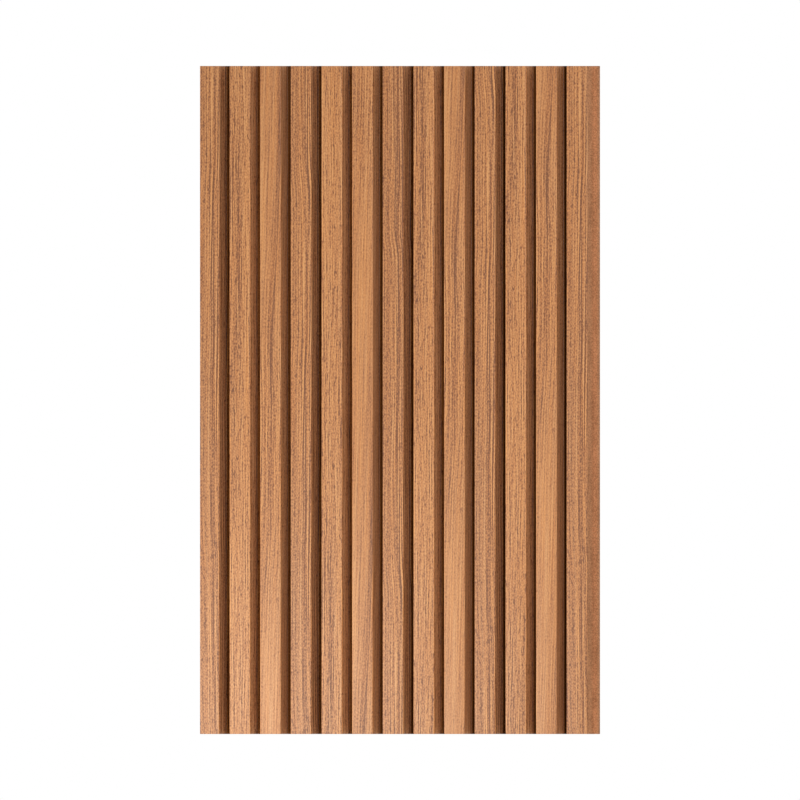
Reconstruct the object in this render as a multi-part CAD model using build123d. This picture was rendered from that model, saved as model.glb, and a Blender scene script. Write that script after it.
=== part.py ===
# Slatted wall panel laid from interlocking boards of three slats each.
# Millimetres. X runs across the slats, Z up along them, the fronts face -Y and the back lies on y = 0.
import os

from build123d import *

os.makedirs("parts", exist_ok=True)

# the section of a board
slat_face = 27.6
groove_mouth = 13.0
slat_rise = 15.0
wall_draft = 0.6
web_thickness = 6.0
edge_radius = 1.0
foot_radius = 0.8
slats_per_board = 3

# the tongue on each board's right and the slot for it under the next board's first slat
tongue_thickness = 2.2
tongue_reach = 6.5
tongue_setback = 1.9
tongue_chamfer = 0.5
tongue_clearance = 0.15
slot_end_clearance = 0.5
seam_width = 0.4

# glue channels, two behind each slat
channel_width = 4.0
channel_depth = 0.8
channel_offset = 5.0

# how the panel is cut
panel_height = 780.0
ripped_face = 25.6
end_lip = 5.0
whole_boards = ["first_board", "second_board", "third_board"]

same_point = 1e-4

front = -(web_thickness + slat_rise)
floor = -web_thickness
pitch = slat_face + groove_mouth
foot = slat_face + 2 * wall_draft
groove_floor = pitch - foot
board_cover = slats_per_board * pitch + seam_width
tongue_back = -tongue_setback
tongue_front = -(tongue_setback + tongue_thickness)
slot_back = tongue_back + tongue_clearance
slot_front = tongue_front - tongue_clearance
slot_depth = tongue_reach + slot_end_clearance


def board(slats, ripped, trimmed):
    # x = 0 is the foot of the board's first slat on its left
    last_foot = (slats - 1) * pitch + foot
    rip_line = wall_draft + slat_face - ripped_face

    # left side: a plain saw cut through the slat, or the slot for the tongue
    if ripped:
        outline = [(rip_line, 0)]
    else:
        outline = [
            (0, floor),
            (0, slot_front),
            (slot_depth, slot_front),
            (slot_depth, slot_back),
            (0, slot_back),
            (0, 0),
        ]

    # back: glue channels with sloping sides either side of each slat's centre line
    for slat in range(slats):
        centre = slat * pitch + foot / 2
        for middle in (centre - channel_offset, centre + channel_offset):
            outline += [
                (middle - channel_width / 2, 0),
                (middle - channel_width / 2 + channel_depth, -channel_depth),
                (middle + channel_width / 2 - channel_depth, -channel_depth),
                (middle + channel_width / 2, 0),
            ]

    # right side: a trimmed lip, or the groove floor ending at the seam with its tongue
    if trimmed:
        outline += [(last_foot + end_lip, 0), (last_foot + end_lip, floor)]
    else:
        seam = last_foot + groove_floor
        shoulder = seam + seam_width
        tip = shoulder + tongue_reach
        outline += [
            (shoulder, 0),
            (shoulder, tongue_back),
            (tip - tongue_chamfer, tongue_back),
            (tip, tongue_back - tongue_chamfer),
            (tip, tongue_front + tongue_chamfer),
            (tip - tongue_chamfer, tongue_front),
            (seam, tongue_front),
            (seam, floor),
        ]

    # front: up and down each slat's leaning walls, from the right to the left
    for slat in reversed(range(slats)):
        left = slat * pitch
        outline += [(left + foot, floor), (left + foot - wall_draft, front)]
        if slat == 0 and ripped:
            outline += [(rip_line, front)]
        else:
            outline += [(left + wall_draft, front)]
            if slat > 0:
                outline += [(left, floor)]

    section = make_face(Polyline(*outline, close=True))
    edges = [
        v
        for v in section.vertices()
        if abs(v.Y - front) < same_point and not (ripped and abs(v.X - rip_line) < same_point)
    ]
    section = fillet(edges, edge_radius)
    feet = [
        v
        for v in section.vertices()
        if abs(v.Y - floor) < same_point and same_point < v.X < last_foot + same_point
    ]
    if feet:
        section = fillet(feet, foot_radius)
    return Pos(0, 0, -panel_height / 2) * extrude(section, amount=panel_height)


# left foot of each board's first slat, counted from the ripped slat's own
boards = [("ripped_strip", 0, board(1, True, False))]
left_foot = pitch + seam_width
for name in whole_boards:
    boards.append((name, left_foot, board(slats_per_board, False, False)))
    left_foot += board_cover
boards.append(("end_board", left_foot, board(slats_per_board, False, True)))

# the middle slat's centre line is x = 0
slat_centres = [foot / 2]
for name, left_foot, solid in boards[1:]:
    slat_centres += [left_foot + slat * pitch + foot / 2 for slat in range(slats_per_board)]
middle = slat_centres[len(slat_centres) // 2]

for name, left_foot, solid in boards:
    export_step(Pos(left_foot - middle, 0, 0) * solid, f"parts/{name}.step")
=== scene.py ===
import math

import bpy
import numpy as np
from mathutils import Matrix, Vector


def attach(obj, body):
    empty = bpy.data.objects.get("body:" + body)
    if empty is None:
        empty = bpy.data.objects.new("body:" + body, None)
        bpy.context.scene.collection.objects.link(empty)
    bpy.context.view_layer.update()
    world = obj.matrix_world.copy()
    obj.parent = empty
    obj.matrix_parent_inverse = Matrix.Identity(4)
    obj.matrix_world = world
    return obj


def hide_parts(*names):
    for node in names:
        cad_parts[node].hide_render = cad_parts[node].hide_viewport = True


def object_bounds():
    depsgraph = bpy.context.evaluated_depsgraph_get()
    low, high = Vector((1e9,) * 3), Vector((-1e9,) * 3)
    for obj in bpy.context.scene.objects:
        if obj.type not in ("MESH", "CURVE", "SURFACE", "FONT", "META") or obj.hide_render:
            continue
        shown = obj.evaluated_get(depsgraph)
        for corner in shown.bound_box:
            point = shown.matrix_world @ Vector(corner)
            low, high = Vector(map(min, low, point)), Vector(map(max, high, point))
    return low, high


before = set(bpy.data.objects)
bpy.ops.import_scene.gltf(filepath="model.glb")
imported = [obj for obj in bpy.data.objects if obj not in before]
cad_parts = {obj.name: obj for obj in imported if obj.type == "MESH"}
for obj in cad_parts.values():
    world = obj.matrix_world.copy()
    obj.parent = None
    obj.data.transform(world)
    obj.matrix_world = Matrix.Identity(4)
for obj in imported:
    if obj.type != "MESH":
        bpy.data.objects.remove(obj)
cadBox = [list(corner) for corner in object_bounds()]
scene = bpy.context.scene
scene.view_settings.view_transform = "Standard"
print("frame loaded, nodes:", sorted(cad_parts))

mm = 0.001
perMetre = 1000.0  # mm
shortestStep = 1e-6  # mm, under which two points are one

# the moulded section, in mm: fronts towards -y, back on y = 0
section = {
    "slatFace": 27.6, "grooveMouth": 13.0, "slatRise": 15.0, "wallDraft": 0.6, "web": 6.0,
    "edgeRadius": 1.0, "footRadius": 0.8, "arcSteps": 7,
    "tongueThick": 2.2, "tongueReach": 6.5, "tongueSetback": 1.9, "tongueChamfer": 0.5,
    "slotPlay": 0.15, "slotEndPlay": 0.5, "seam": 0.4,
    "channelWidth": 4.0, "channelDepth": 0.8, "channelOffset": 5.0,
    "height": 780.0, "rippedFace": 25.6, "endLip": 5.0, "sawArris": 0.25,
    "sharpAngle": 28.0,  # degrees, above which an edge is drawn sharp
}
pitch = section["slatFace"] + section["grooveMouth"]
foot = section["slatFace"] + 2 * section["wallDraft"]
floorLevel = -section["web"]
frontLevel = -section["web"] - section["slatRise"]
boardSlats = 3
boardCover = boardSlats * pitch + section["seam"]
firstLeft = pitch + section["seam"]

# each board: node it stands for, slats, left foot counted from the ripped slat's, film shift along z in mm
boards = {
    "rippedStrip": {"node": "ripped_strip", "slats": 1, "left": 0.0, "filmShift": -204.0, "ripped": True},
    "firstBoard": {"node": "first_board", "slats": boardSlats, "left": firstLeft, "filmShift": 0.0},
    "secondBoard": {"node": "second_board", "slats": boardSlats, "left": firstLeft + boardCover,
                    "filmShift": 467.0},
    "thirdBoard": {"node": "third_board", "slats": boardSlats, "left": firstLeft + 2 * boardCover,
                   "filmShift": -105.0},
    "endBoard": {"node": "end_board", "slats": boardSlats, "left": firstLeft + 3 * boardCover,
                 "filmShift": -198.0, "trimmed": True},
}
# the origin is on the centre line of the middle slat
middleLine = boards["secondBoard"]["left"] + 2 * pitch + foot / 2

# what a stretch of the outline is finished with: wrapped film, bare core, film on a groove floor
film, core, grooveFloor = 0, 1, 2


# corners of a section, counter-clockwise from the first slat's left foot: slats as one outline moved on by
# the pitch, then the right side, the back from right to left and the left side; each row is x, y, radius
# and the finish of the stretch that follows
def sectionCorners(slats, ripped=False, trimmed=False):
    s = section
    draft, edge, root = s["wallDraft"], s["edgeRadius"], s["footRadius"]
    slat = np.array([[0, floorLevel, root, film], [draft, frontLevel, edge, film],
                     [foot - draft, frontLevel, edge, film], [foot, floorLevel, root, grooveFloor]])
    steps = np.arange(slats)[:, None, None] * np.array([pitch, 0, 0, 0])
    front = (steps + slat).reshape(-1, 4)
    front[0, 2] = 0
    lastFoot = front[-1, 0]
    ripLine = draft + s["slatFace"] - s["rippedFace"]
    if ripped:
        front = front[1:]
        front[0, [0, 2]] = ripLine, 0
    if trimmed:
        front[-2:, 3] = core
        lip = lastFoot + s["endLip"]
        side = np.array([[lip, floorLevel, 0, core], [lip, 0, 0, core]])
    else:
        seam = lastFoot + pitch - foot
        shoulder = seam + s["seam"]
        tip, bevel = shoulder + s["tongueReach"], s["tongueChamfer"]
        near, far = -s["tongueSetback"] - s["tongueThick"], -s["tongueSetback"]
        side = np.array([[seam, floorLevel, 0, core], [seam, near, 0, core],
                         [tip - bevel, near, 0, core], [tip, near + bevel, 0, core],
                         [tip, far - bevel, 0, core], [tip - bevel, far, 0, core],
                         [shoulder, far, 0, core], [shoulder, 0, 0, core]])
    half, deep = s["channelWidth"] / 2, s["channelDepth"]
    channel = np.array([[half, 0, 0, core], [half - deep, -deep, 0, core],
                        [deep - half, -deep, 0, core], [-half, 0, 0, core]])
    slatMiddles = np.arange(slats)[::-1, None] * pitch + foot / 2
    middles = (slatMiddles + np.array([1, -1]) * s["channelOffset"]).ravel()
    back = (channel + middles[:, None, None] * np.array([1, 0, 0, 0])).reshape(-1, 4)
    slotNear = -s["tongueSetback"] - s["tongueThick"] - s["slotPlay"]
    slotFar = -s["tongueSetback"] + s["slotPlay"]
    deepEnd = s["tongueReach"] + s["slotEndPlay"]
    if ripped:
        left = np.array([[ripLine, 0, 0, core]])
    else:
        left = np.array([[0, 0, 0, core], [0, slotFar, 0, core], [deepEnd, slotFar, 0, core],
                         [deepEnd, slotNear, 0, core], [0, slotNear, 0, core]])
    return np.concatenate([front, side, back, left])


# rounded outline: each corner of radius r becomes an arc about a centre r / sin(half angle) along the
# bisector, swept from one tangent point to the other; a corner of radius 0 stays one point
def roundedOutline(corners):
    steps = section["arcSteps"]
    point, radius = corners[:, :2], corners[:, 2]
    before = np.roll(point, 1, 0) - point
    after = np.roll(point, -1, 0) - point
    before /= np.linalg.norm(before, axis=1, keepdims=True)
    after /= np.linalg.norm(after, axis=1, keepdims=True)
    halfAngle = np.arccos(np.clip((before * after).sum(1), -1, 1)) / 2
    halfAngle = np.where(radius > 0, halfAngle, math.pi / 4)  # any angle does without a radius
    bisector = before + after
    bisector /= np.maximum(np.linalg.norm(bisector, axis=1, keepdims=True), shortestStep)
    centre = point + bisector * (radius / np.sin(halfAngle))[:, None]
    setback = (radius / np.tan(halfAngle))[:, None]
    fromCentre = point + before * setback - centre
    toCentre = point + after * setback - centre
    sweep = (math.pi - 2 * halfAngle)[:, None, None]
    share = np.linspace(0, 1, steps)[None, :, None]
    leaving = np.sin((1 - share) * sweep) * fromCentre[:, None]
    coming = np.sin(share * sweep) * toCentre[:, None]
    arc = (leaving + coming) / np.sin(sweep)
    outline = (centre[:, None] + arc).reshape(-1, 2)
    corner = np.repeat(np.arange(len(corners)), steps)
    kept = np.linalg.norm(outline - np.roll(outline, 1, 0), axis=1) > shortestStep
    outline, corner = outline[kept], corner[kept]
    sameCorner = corner == np.roll(corner, -1)
    finish = np.where(sameCorner, np.roll(corners[:, 3], 1)[corner], corners[corner, 3]).astype(int)
    return outline, finish


# unrolled length of the film from the first slat's left foot, measured along the outline
def filmLengths(outline):
    step = np.linalg.norm(np.diff(outline, axis=0), axis=1)
    return np.concatenate([[0], np.cumsum(step)])


wholeOutline, wholeFinish = roundedOutline(sectionCorners(boardSlats))
wholeFilm = filmLengths(wholeOutline)
filmEnd = wholeFilm[np.nonzero(wholeFinish != core)[0].max() + 1]
frontPoints = len(wholeOutline) // 2  # these lie on the fronts, from left to right


# film length at a place x on the fronts of a whole board
def filmAt(x):
    return float(np.interp(x, wholeOutline[:frontPoints, 0], wholeFilm[:frontPoints]))


# lengths that place features on the film: one slat with its groove, and the middle of the first face
unroll = {"slat": filmAt(pitch + foot / 2) - filmAt(foot / 2), "middle": filmAt(foot / 2)}
print("film: one slat with its groove unrolls to", round(unroll["slat"], 2), "mm, its middle at",
      round(unroll["middle"], 2))


# a board is its outline carried up z through four rings; the two end rings are drawn in by the saw arris
def boardMesh(name, spec):
    ripped, trimmed = spec.get("ripped", False), spec.get("trimmed", False)
    outline, finish = roundedOutline(sectionCorners(spec["slats"], ripped, trimmed))
    along = filmLengths(outline)
    if ripped:
        along += filmEnd - along[np.nonzero(finish != core)[0].max() + 1]
    count = len(outline)
    tangent = np.roll(outline, -1, 0) - np.roll(outline, 1, 0)
    tangent /= np.linalg.norm(tangent, axis=1, keepdims=True)
    inward = np.stack([-tangent[:, 1], tangent[:, 0]], 1)
    arris, half = section["sawArris"], section["height"] / 2
    rings = np.array([-half, arris - half, half - arris, half])
    drawnIn = np.array([arris, 0, 0, arris])
    flat = outline[None] + inward[None] * drawnIn[:, None, None]
    flat = flat + np.array([spec["left"] - middleLine, 0])
    height = np.broadcast_to(rings[:, None, None], (len(rings), count, 1))
    points = np.concatenate([flat, height], 2).reshape(-1, 3) * mm
    bands = len(rings) - 1
    lower = np.arange(bands)[:, None] * count
    upper = lower + count
    here, onward = np.arange(count), (np.arange(count) + 1) % count
    quads = np.stack([lower + here, lower + onward, upper + onward, upper + here], 2)
    ends = [here[::-1].tolist(), (bands * count + here).tolist()]
    mesh = bpy.data.meshes.new(name)
    mesh.from_pydata(points.tolist(), [], quads.reshape(-1, 4).tolist() + ends)
    slots = np.concatenate([np.tile(finish, bands), [core, core]]).astype(np.int32)
    mesh.polygons.foreach_set("material_index", slots)
    mesh.polygons.foreach_set("use_smooth", np.ones(len(slots), bool))
    corner = np.zeros(len(mesh.loops), np.int32)
    mesh.loops.foreach_get("vertex_index", corner)
    filmMap = mesh.uv_layers.new(name="filmMap")
    place = np.stack([along[corner % count] * mm, points[corner, 2] + spec["filmShift"] * mm], 1)
    filmMap.data.foreach_set("uv", place.ravel())
    mesh.update()
    mesh.validate()
    mesh.set_sharp_from_angle(angle=math.radians(section["sharpAngle"]))
    piece = bpy.data.objects.new(name, mesh)
    scene.collection.objects.link(piece)
    return piece


# one output socket with the signs of plain maths, each adding a Math node
class Wire:
    def __init__(self, net, socket):
        self.net, self.socket = net, socket

    def of(self, name):
        return Wire(self.net, self.socket.node.outputs[name])

    def maths(self, operation, *values):
        return self.net.node("ShaderNodeMath", {"operation": operation}, *values)

    def __add__(self, other):
        return self.maths("ADD", self, other)

    def __radd__(self, other):
        return self.maths("ADD", other, self)

    def __sub__(self, other):
        return self.maths("SUBTRACT", self, other)

    def __rsub__(self, other):
        return self.maths("SUBTRACT", other, self)

    def __mul__(self, other):
        return self.maths("MULTIPLY", self, other)

    def __rmul__(self, other):
        return self.maths("MULTIPLY", other, self)

    def __truediv__(self, other):
        return self.maths("DIVIDE", self, other)

    def __rtruediv__(self, other):
        return self.maths("DIVIDE", other, self)

    def __neg__(self):
        return self.maths("MULTIPLY", self, -1.0)

    def floor(self):
        return self.maths("FLOOR", self)

    def exp(self):
        return self.maths("EXPONENT", self)

    def most(self, other):
        return self.maths("MAXIMUM", self, other)

    # 1 where the value is within a tenth of a whole number, else 0
    def equals(self, number):
        return self.maths("COMPARE", self, number, 0.1)

    # bell: exp of minus the squared distance from a middle, counted in half widths
    def bell(self, middle, half):
        off = (self - middle) / half
        return (-(off * off)).exp()

    # 0 below low, 1 above high, smooth between
    def ramp(self, low, high):
        smooth = {"interpolation_type": "SMOOTHSTEP"}
        return self.net.node("ShaderNodeMapRange", smooth, self, low, high, 0.0, 1.0)


# a node tree and the one way to add to it: node type, settings first, then its sockets by place or by name;
# a colour ramp and a curve start with two points, so only further ones are new
class Net:
    def __init__(self, owner):
        owner.use_nodes = True
        self.owner, self.tree = owner, owner.node_tree
        self.tree.nodes.clear()

    def node(self, kind, settings=None, *values, **named):
        made = self.tree.nodes.new(kind)
        settings = dict(settings or {})
        for number, (place, colour) in enumerate(settings.pop("stops", ())):
            ramp = made.color_ramp.elements
            stop = ramp[number] if number < 2 else ramp.new(place)
            stop.position, stop.color = place, colour
        for number, place in enumerate(settings.pop("points", ())):
            curve = made.mapping.curves[0].points
            point = curve[number] if number < 2 else curve.new(*place)
            point.location = place
        for key, value in settings.items():
            setattr(made, key, value)
        usable = [socket for socket in made.inputs if socket.enabled]
        byName = {socket.name: socket for socket in usable}
        pairs = list(zip(usable, values))
        pairs += [(byName[key.replace("_", " ")], value) for key, value in named.items()]
        for socket, value in pairs:
            if isinstance(value, Wire):
                self.tree.links.new(value.socket, socket)
            else:
                socket.default_value = value
        outputs = [socket for socket in made.outputs if socket.enabled]
        return Wire(self, outputs[0]) if outputs else None

    # fractal noise over x, y with its own seed as z, 0 to 1 about 0.5
    def noise(self, x, y, seed, detail):
        place = self.node("ShaderNodeCombineXYZ", None, x, y, seed)
        return self.node("ShaderNodeTexNoise", {"noise_dimensions": "3D"}, Vector=place, Scale=1.0,
                         Detail=detail, Roughness=0.5)

    # the finished shader, with what varies linked and what is the same all over set on its sockets
    def surface(self, **sockets):
        self.node("ShaderNodeOutputMaterial", None, self.node("ShaderNodeBsdfPrincipled", None, **sockets))
        return self.owner


filmLook = {
    # tone from dark to light, as the film is printed
    "palette": [(0.0, (0.200, 0.069, 0.0228, 1)), (0.25, (0.370, 0.140, 0.0472, 1)),
                (0.5, (0.523, 0.2115, 0.0715, 1)), (0.75, (0.632, 0.274, 0.0930, 1)),
                (1.0, (0.720, 0.334, 0.1180, 1))],
    # first, second and third slat of a board: tone, strength of its mottle, streaks, hair lines, pores and
    # specks, length of the hair lines in mm, and how light the painted shade on the far side of the groove
    # floor beyond it is
    "slats": [{"tone": 0.04, "mottle": 0.22, "streak": 0.28, "hair": 0.90, "length": 50.0,
               "pore": 0.42, "speck": 1.00, "paintedFarFloorShade": 0.23},
              {"tone": 0.05, "mottle": 0.22, "streak": 0.46, "hair": 0.60, "length": 75.0,
               "pore": 0.20, "speck": 0.76, "paintedFarFloorShade": 0.115},
              {"tone": -0.075, "mottle": 0.08, "streak": 0.14, "hair": 0.95, "length": 100.0,
               "pore": 0.30, "speck": 1.02, "paintedFarFloorShade": 0.12}],
    # noises of the grain: size across and along in mm, seed, detail; the hair lines' length is by slat
    "grain": {"wander": (60.0, 210.0, 3.1, 2.0), "broad": (15.0, 330.0, 11.7, 1.0),
              "mottle": (8.0, 38.0, 13.9, 2.0), "streak": (3.2, 190.0, 23.3, 1.0),
              "speck": (1.3, 2.4, 51.1, 0.0), "pore": (1.3, 8.0, 67.7, 0.0),
              "life": (90.0, 60.0, 81.0, 1.0), "warmth": (2.4, 150.0, 93.3, 1.0)},
    "hairWidth": 1.7, "hairStep": 0.95, "hairSeed": 37.9,
    # sideways wander in mm, strength of the broad bands, which part of the noise is pores, and how much
    # green and blue the warm streaks move
    "sway": 3.0, "broad": 0.20, "poreRange": (0.58, 0.76), "blush": (0.22, 0.6),
    # where the grain is rougher: along the second slat, place and half length in mm, and how much rougher
    # there and smoother elsewhere; across the third, from and to in mm from its middle, and the same
    "roughLengths": [(-50, 180), (800, 90)], "secondRough": (0.6, 0.2),
    "roughAcross": (-5.0, 5.0), "thirdRough": (0.80, 0.42),
    # paths that the grain of the second and third slats keeps to: place along in mm, place across 0 to 1
    "secondPath": [(-620, -0.18), (-400, 0.13), (-210, 0.35), (-180, 0.43), (-120, 0.50), (-60, 0.54),
                   (0, 0.57), (60, 0.53), (120, 0.58), (150, 0.64), (180, 0.71), (240, 0.81), (330, 0.93),
                   (500, 1.10), (860, 1.45)],
    "thirdPath": [(-600, 0.85), (-560, 0.76), (-420, 0.75), (-385, 0.73), (-340, 0.66), (-240, 0.66),
                  (-120, 0.69), (-30, 0.75), (30, 0.76), (100, 0.85), (210, 0.86), (260, 0.77),
                  (330, 0.70), (390, 0.72), (508, 0.79), (615, 0.81), (650, 0.72), (680, 0.66),
                  (764, 0.70), (860, 0.68)],
    # veins beside those paths: slat, place across from the path in mm, half width in mm, tone, and from
    # where to where along; on the first slat, which has no path, the place is from the middle of its face
    "veins": [(0, 19.3, 1.3, 0.36, -900, 900), (1, 0.0, 2.9, -0.22, -160, 430),
              (2, -1.9, 0.9, -0.12, -640, 900), (2, 0.0, 1.4, -0.17, -640, -380),
              (2, 0.0, 1.4, -0.23, -380, 40), (2, 0.0, 1.2, -0.14, 40, 240),
              (2, 0.0, 1.5, -0.28, 240, 900), (2, -5.8, 2.2, 0.11, -640, 900),
              (2, 3.6, 1.2, 0.10, -140, 600)],
    # soft darker or lighter patches: slat, place across 0 to 1, place along in mm, half width as a share of
    # the face, half length in mm, tone
    "patches": [(0, 0.47, 200, 0.08, 130, -0.26), (0, 0.14, 255, 0.18, 60, -0.16),
                (0, 0.15, 40, 0.20, 45, -0.13), (0, 0.82, 40, 0.14, 65, 0.21),
                (0, 0.82, 200, 0.14, 120, 0.09), (0, 0.04, -245, 0.06, 70, 0.10),
                (0, 0.04, 745, 0.06, 70, 0.14), (0, 0.95, -430, 0.05, 45, -0.18),
                (0, 0.86, -505, 0.05, 40, -0.18), (0, 0.80, -585, 0.12, 55, -0.24),
                (0, 0.95, 405, 0.05, 40, -0.14), (0, 0.86, 465, 0.05, 35, -0.16),
                (0, 0.95, 540, 0.05, 35, -0.14), (0, 0.38, -570, 0.14, 50, -0.12),
                (0, 0.50, 720, 0.60, 170, 0.06), (0, 0.50, -270, 0.60, 130, 0.06),
                (0, 0.45, 130, 0.12, 80, -0.10), (0, 0.40, 285, 0.26, 40, -0.12),
                (0, 0.12, -100, 0.18, 35, -0.14), (0, 0.20, -285, 0.10, 30, -0.12),
                (0, 0.90, 700, 0.12, 100, 0.09), (1, 0.20, -205, 0.30, 30, -0.11),
                (1, 0.20, 790, 0.30, 50, -0.10), (1, 0.45, 800, 0.10, 50, -0.06),
                (1, 0.47, 80, 0.16, 45, -0.24), (1, 0.48, -60, 0.12, 80, -0.12),
                (1, 0.10, 200, 0.16, 110, 0.15), (1, 0.48, 580, 0.26, 130, 0.14),
                (1, 0.48, -350, 0.30, 90, 0.13), (1, 0.92, 300, 0.09, 60, -0.16),
                (1, 0.71, 20, 0.07, 40, -0.25), (1, 0.62, 205, 0.16, 60, -0.09),
                (1, 0.45, 370, 0.20, 70, 0.06), (1, 0.95, -575, 0.07, 70, -0.18),
                (1, 0.62, -520, 0.18, 90, 0.08), (1, 0.20, -170, 0.25, 70, -0.08),
                (1, 0.40, -235, 0.12, 35, -0.12), (2, 0.05, 190, 0.07, 60, 0.10),
                (2, 0.55, 170, 0.30, 80, 0.09), (2, 0.97, 190, 0.05, 60, 0.26),
                (2, 0.97, -330, 0.05, 50, -0.18), (2, 0.97, 710, 0.05, 80, -0.22),
                (2, 0.40, 10, 0.40, 50, 0.06), (2, 0.12, 700, 0.20, 160, -0.08),
                (2, 0.55, -520, 0.15, 110, 0.08), (2, 0.15, -560, 0.14, 60, -0.08),
                (2, 0.15, -240, 0.24, 110, -0.10)],
    # pin knots: slat, across, along in mm, half sizes in mm
    "knots": [(0, 0.64, -365, 1.5, 2.2), (1, 0.84, -233, 1.2, 2.6), (1, 0.87, 757, 1.2, 2.4),
              (0, 0.70, 616, 1.6, 1.6)],
    # veins fade in over this length in mm and come and go with their noise in this range; tone of a knot
    "veinFade": 25.0, "veinLife": (0.0, 0.5), "knotTone": 0.5,
    # painted highlight on the left edges of the slats, how much and how wide in mm
    "paintedEdgeHighlight": 0.30, "paintedHighlightReach": 1.2,
    # sides of the slats: a painted tint for the greyer light on them, and from where to where behind the
    # fronts it comes in, in mm
    "paintedSideTint": (0.95, 1.06, 1.40), "sideRange": (0.5, 2.5),
    # groove floors, darkened by painted shade in place of the shadow in the grooves: its tint, from where to
    # where above the floor it comes in, how light the floors are at the foot of the slat, where along the
    # floor the painted shade begins and is darkest, and how much sooner and darker that is for each metre to
    # the right
    "paintedFloorHue": (1.0, 0.86, 0.66), "floorRange": (2.0, 0.2), "paintedNearFloorShade": 0.38,
    "paintedShadeStart": 0.5, "paintedShadeReach": 4.2, "paintedShadeSooner": 5.5, "paintedShadeDarker": 2.4,
    "roughness": 0.4, "roughnessByTone": -0.1, "bumpStrength": 0.25, "bumpDistance": 0.0003,
    "faceSpecular": 0.5, "grooveSpecular": 0.0,
}


# where a face place 0 to 1 on slat 0, 1 or 2 lies on the unrolled film
def onFilm(slat, across):
    return unroll["middle"] + slat * unroll["slat"] + (across - 0.5) * section["slatFace"]


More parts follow.
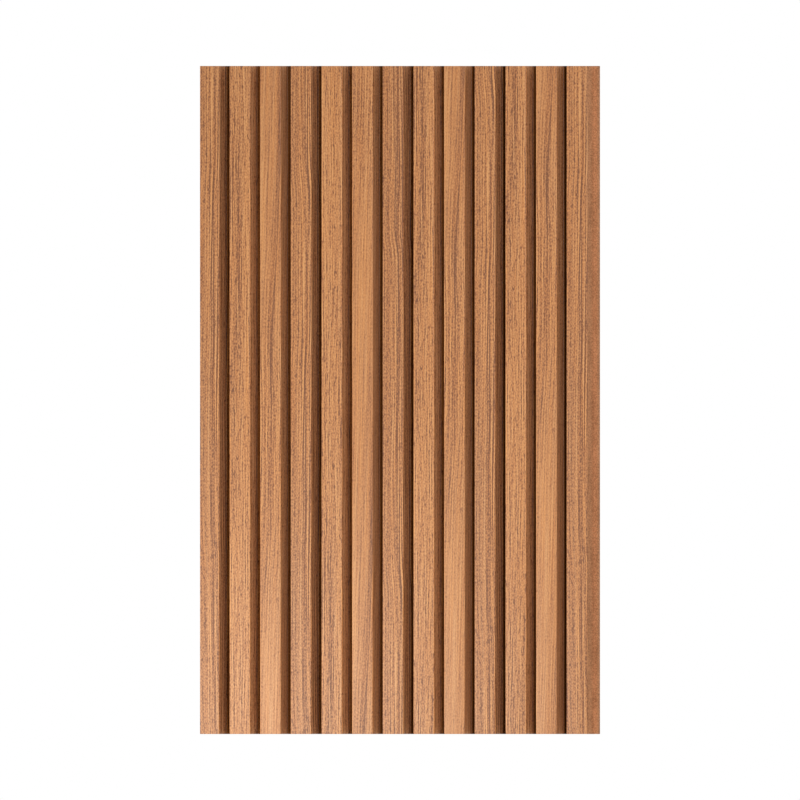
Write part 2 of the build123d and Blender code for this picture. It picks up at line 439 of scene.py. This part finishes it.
def grainFilm(name, specular):
    f = Net(bpy.data.materials.new(name))
    place = f.node("ShaderNodeSeparateXYZ", None, f.node("ShaderNodeUVMap", {"uv_map": "filmMap"}))
    u, v = place * perMetre, place.of("Y") * perMetre
    slatNumber = (u / unroll["slat"]).floor()
    onSlat = u - slatNumber * unroll["slat"]
    isSecond, isThird = slatNumber.equals(1.0), slatNumber.equals(2.0)

    # a path across the face against v, read from a curve, in mm from the middle of the face
    def path(points):
        along, across = np.array(points, float).T
        length, width = np.ptp(along), np.ptp(across)
        turns = np.stack([(along - along[0]) / length, (across - across.min()) / width], 1)
        curve = f.node("ShaderNodeFloatCurve", {"points": turns.tolist()}, 1.0, (v - along[0]) / length)
        return (curve * width + across.min() - 0.5) * section["slatFace"]

    # one of the film's noises against a place across and v
    def grain(key, across, seedStep=0.0):
        wide, tall, seed, detail = filmLook["grain"][key]
        return f.noise(across / wide, v / tall, seed + seedStep, detail)

    # a per-slat number as one wire
    def bySlat(key):
        one, two, three = (slat[key] for slat in filmLook["slats"])
        return one + isSecond * (two - one) + isThird * (three - one)

    # the grain's own place across: a slight wander from side to side, and the path of the slat; seat runs on
    # from slat to slat and w counts from the path
    wander = grain("wander", u) * filmLook["sway"] - filmLook["sway"] / 2
    seat = (u + wander - unroll["middle"] - isSecond * path(filmLook["secondPath"])
            - isThird * path(filmLook["thirdPath"]))
    w = seat - slatNumber * unroll["slat"]

    broad = grain("broad", seat) - 0.5
    mottle = grain("mottle", u) - 0.5
    streak = grain("streak", seat) - 0.5
    speck = grain("speck", u) - 0.5
    pore = grain("pore", seat).ramp(*filmLook["poreRange"])
    # hair lines: a noise less the same noise a line's width on, so that dark and light lines lie side by side
    line, lineLength = seat / filmLook["hairWidth"], v / bySlat("length")
    hair = (f.noise(line, lineLength, filmLook["hairSeed"], 0.0)
            - f.noise(line + filmLook["hairStep"], lineLength, filmLook["hairSeed"], 0.0))
    # the second slat is smooth but for its rough lengths, and the third has stronger hair lines on its right
    rougher, smoother = filmLook["secondRough"]
    roughPlaces = sum(v.bell(along, tall) for along, tall in filmLook["roughLengths"])
    rough = 1.0 + isSecond * (roughPlaces * rougher - smoother)
    rougher, smoother = filmLook["thirdRough"]
    onRight = (u - onFilm(2, 0.5)).ramp(*filmLook["roughAcross"])
    lined = rough + isThird * (onRight * rougher - smoother)
    tone = (0.5 + bySlat("tone") + broad * filmLook["broad"] + mottle * bySlat("mottle")
            + streak * bySlat("streak") + hair * bySlat("hair") * lined
            + (speck * bySlat("speck") - pore * bySlat("pore")) * rough)
    fade = filmLook["veinFade"]
    for slat, aside, wide, amount, start, stop in filmLook["veins"]:
        life = grain("life", u, aside).ramp(*filmLook["veinLife"])
        here = v.ramp(start - fade, start + fade) - v.ramp(stop - fade, stop + fade)
        tone = tone + w.bell(aside, wide) * slatNumber.equals(float(slat)) * life * here * amount
    for slat, across, along, wide, tall, amount in filmLook["patches"]:
        beside = u.bell(onFilm(slat, across), wide * section["slatFace"])
        tone = tone + beside * v.bell(along, tall) * amount
    for slat, across, along, wide, tall in filmLook["knots"]:
        tone = tone - u.bell(onFilm(slat, across), wide) * v.bell(along, tall) * filmLook["knotTone"]
    colour = f.node("ShaderNodeValToRGB", {"stops": filmLook["palette"]}, tone)
    # redder and yellower streaks
    warmth = grain("warmth", seat) - 0.5
    green, blue = filmLook["blush"]
    blush = f.node("ShaderNodeCombineXYZ", None, 1.0, 1.0 + warmth * green, 1.0 + warmth * blue)
    colour = f.node("ShaderNodeVectorMath", {"operation": "MULTIPLY"}, colour, blush)

    # painted light: the film is tinted greyer on the sides of the slats, and painted shade darkens the groove
    # floors, darkest towards the next slat and from groove to groove across the panel
    body = f.node("ShaderNodeSeparateXYZ", None, f.node("ShaderNodeTexCoord").of("Object"))
    depth = body.of("Y") * perMetre
    sideFrom, sideTo = filmLook["sideRange"]
    onSide = depth.ramp(frontLevel + sideFrom, frontLevel + sideTo)
    floorFrom, floorTo = filmLook["floorRange"]
    onFloor = depth.ramp(floorLevel - floorFrom, floorLevel - floorTo)
    slatFoot = unroll["slat"] - section["grooveMouth"] + 2 * section["wallDraft"]
    # painted shade on the groove floors: from the foot of the slat it darkens towards the next slat, sooner
    # and darker to the right
    darkest = filmLook["paintedShadeReach"] - body * filmLook["paintedShadeSooner"]
    across = (onSlat - slatFoot).ramp(filmLook["paintedShadeStart"], darkest)
    paintedFarShade = bySlat("paintedFarFloorShade") * (1.0 - body * filmLook["paintedShadeDarker"])
    paintedFloorShade = filmLook["paintedNearFloorShade"] + across * (paintedFarShade - filmLook["paintedNearFloorShade"])
    # and a painted highlight, a little lighter, along the left edge of each slat
    edge = onSlat.bell(onFilm(0, 0.0), filmLook["paintedHighlightReach"])
    # painted light: the floors' painted shade times the edges' painted highlight
    paintedLight = (1.0 + onFloor * (paintedFloorShade - 1.0)) * (1.0 + edge * filmLook["paintedEdgeHighlight"])
    # painted light: film colour times a greyer painted tint on the sides, the painted floor hue, and the
    # painted shade and highlight
    paintedLightTint = f.node("ShaderNodeMix", {"data_type": "VECTOR"}, onSide, (1, 1, 1), filmLook["paintedSideTint"])
    paintedLightTint = f.node("ShaderNodeMix", {"data_type": "VECTOR"}, onFloor, paintedLightTint, filmLook["paintedFloorHue"])
    paintedLightTint = f.node("ShaderNodeVectorMath", {"operation": "SCALE"}, paintedLightTint, Scale=paintedLight)
    paintedLitColour = f.node("ShaderNodeVectorMath", {"operation": "MULTIPLY"}, colour, paintedLightTint)
    bump = f.node("ShaderNodeBump", None, Strength=filmLook["bumpStrength"],
                  Distance=filmLook["bumpDistance"], Height=tone)
    roughness = filmLook["roughness"] + (tone - 0.5) * filmLook["roughnessByTone"]
    return f.surface(Base_Color=paintedLitColour, Roughness=roughness, Normal=bump, Specular_IOR_Level=specular)


coreLook = {
    "colour": (0.74, 0.338, 0.158, 1), "dark": (0.35, 0.147, 0.064, 1), "contrast": (0.1, 0.9),
    # grit: mm along x, along z and twice along y, which slants it on the two sides; clouds: mm along x, y
    # and z, and their share of the colour
    "gritSize": (1.5, 1.7, 2.6, 5.0), "gritSeed": 5.3, "gritDetail": 1.0,
    "cloudSize": (14.0, 9.0, 40.0), "cloudSeed": 9.1, "cloudDetail": 2.0, "cloudShare": 0.5,
    "paintedFrontShade": 0.92, "roughness": 0.62, "roughnessByGrit": 0.15, "specular": 0.12,
    "bumpStrength": 0.3, "bumpDistance": 0.0003,
}


def rawCore():
    f = Net(bpy.data.materials.new("rawCore"))
    place = f.node("ShaderNodeSeparateXYZ", None, f.node("ShaderNodeTexCoord").of("Object"))
    x, y, z = place * perMetre, place.of("Y") * perMetre, place.of("Z") * perMetre
    wide, tall, deep, deeper = coreLook["gritSize"]
    grit = f.noise(x / wide + y / deep, z / tall + y / deeper, coreLook["gritSeed"],
                   coreLook["gritDetail"])
    wide, deep, tall = coreLook["cloudSize"]
    cloud = f.noise(x / wide + y / deep, z / tall, coreLook["cloudSeed"], coreLook["cloudDetail"])
    share = coreLook["cloudShare"]
    amount = (grit + cloud * share - share / 2).ramp(*coreLook["contrast"])
    colour = f.node("ShaderNodeMix", {"data_type": "RGBA"}, amount, coreLook["dark"], coreLook["colour"])
    # painted shade: the core is darker towards the fronts
    paintedLight = coreLook["paintedFrontShade"] + y.ramp(frontLevel, floorLevel) * (1.0 - coreLook["paintedFrontShade"])
    colour = f.node("ShaderNodeVectorMath", {"operation": "SCALE"}, colour, Scale=paintedLight)
    bump = f.node("ShaderNodeBump", None, Strength=coreLook["bumpStrength"],
                  Distance=coreLook["bumpDistance"], Height=grit)
    roughness = coreLook["roughness"] + (grit - 0.5) * coreLook["roughnessByGrit"]
    return f.surface(Base_Color=colour, Roughness=roughness, Normal=bump,
                     Specular_IOR_Level=coreLook["specular"])


# in the order of film, core and grooveFloor
finishes = [grainFilm("grainFilm", filmLook["faceSpecular"]), rawCore(),
            grainFilm("grooveFilm", filmLook["grooveSpecular"])]
for name, spec in boards.items():
    piece = boardMesh(name, spec)
    for finish in finishes:
        piece.data.materials.append(finish)
    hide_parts(spec["node"])
    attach(piece, "root")
print("boards made:", len(boards))

# pale floor well under the panel, which hangs on its back
stageLook = {"floorHeight": -1.1, "halfSize": 30.0, "cells": 8, "floorColour": (0.82, 0.82, 0.82, 1),
             "floorRoughness": 0.9, "ambient": 0.62}
half, cells = stageLook["halfSize"], stageLook["cells"]
floorMesh = bpy.data.meshes.new("studioFloor")
grid = np.linspace(-half, half, cells + 1)
gx, gy = np.meshgrid(grid, grid)
floorPoints = np.stack([gx, gy, np.full_like(gx, stageLook["floorHeight"])], 2).reshape(-1, 3)
first = (np.arange(cells)[:, None] * (cells + 1) + np.arange(cells)).ravel()
floorFaces = np.stack([first, first + 1, first + cells + 2, first + cells + 1], 1)
floorMesh.from_pydata(floorPoints.tolist(), [], floorFaces.tolist())
floorFinish = Net(bpy.data.materials.new("paleFloor"))
floorMesh.materials.append(floorFinish.surface(Base_Color=stageLook["floorColour"],
                                               Roughness=stageLook["floorRoughness"]))
floor = bpy.data.objects.new("studioFloor", floorMesh)
scene.collection.objects.link(floor)

# white behind the panel for camera, glossy and transmission rays, a plain soft level for light
scene.world = bpy.data.worlds.new("studioWorld")
air = Net(scene.world)
ray = air.node("ShaderNodeLightPath")
seen = ray.of("Is Camera Ray").most(ray.of("Is Glossy Ray")).most(ray.of("Is Transmission Ray"))
soft = air.node("ShaderNodeBackground", None, (1, 1, 1, 1), stageLook["ambient"])
white = air.node("ShaderNodeBackground", None, (1, 1, 1, 1), 1.0)
air.node("ShaderNodeOutputWorld", None, air.node("ShaderNodeMixShader", None, seen, soft, white))

# azimuth and elevation in degrees from the aim, distance and size in metres, power in watts
lamps = {
    "rightKey": {"azimuth": 22.0, "elevation": -3.0, "distance": 1.6, "size": 1.0, "power": 8.0,
                 "aim": (0.25, 0, 0.34), "colour": (1.0, 1.0, 1.0)},
    "lowLeft": {"azimuth": -30.0, "elevation": -1.0, "distance": 1.08, "size": 0.74, "power": 6.2,
                "aim": (-0.12, 0, -0.56), "colour": (0.96, 1.0, 0.965)},
}
for name, lamp in lamps.items():
    a, e = math.radians(lamp["azimuth"]), math.radians(lamp["elevation"])
    light = bpy.data.lights.new(name, "AREA")
    light.shape, light.size, light.energy = "DISK", lamp["size"], lamp["power"]
    light.color = lamp["colour"]
    holder = bpy.data.objects.new(name, light)
    towards = np.array([math.sin(a) * math.cos(e), -math.cos(a) * math.cos(e), math.sin(e)])
    holder.location = towards * lamp["distance"] + np.array(lamp["aim"])
    holder.visible_camera = False
    holder.rotation_euler = (math.pi / 2 - e, 0, a)
    scene.collection.objects.link(holder)
print("floor, world and lamps set")

# camera to the right of the panel, level with its middle; a parallel view keeps its edges square
shot = {"azimuth": 28.5, "distance": 6.0, "clipEnd": 100.0, "panelPixels": 400.0, "imagePixels": 800.0}
yaw = math.radians(shot["azimuth"])
rightAxis = np.array([math.cos(yaw), math.sin(yaw), 0])
back = np.array([math.sin(yaw), -math.cos(yaw), 0])
lo, hi = np.array(cadBox[0]), np.array(cadBox[1])
leftEdge = rightAxis @ [lo[0], lo[1], 0]
rightEdge = rightAxis @ [hi[0], hi[1], 0]
aim = rightAxis * (leftEdge + rightEdge) / 2
camera = bpy.data.cameras.new("camera")
camera.type = "ORTHO"
camera.ortho_scale = float(rightEdge - leftEdge) * shot["imagePixels"] / shot["panelPixels"]
camera.clip_end = shot["clipEnd"]
viewer = bpy.data.objects.new("camera", camera)
viewer.location = aim + back * shot["distance"]
viewer.rotation_euler = (math.pi / 2, 0, yaw)
scene.collection.objects.link(viewer)
scene.camera = viewer
print("camera frame", round(camera.ortho_scale, 4), "m wide")

bpy.context.view_layer.update()
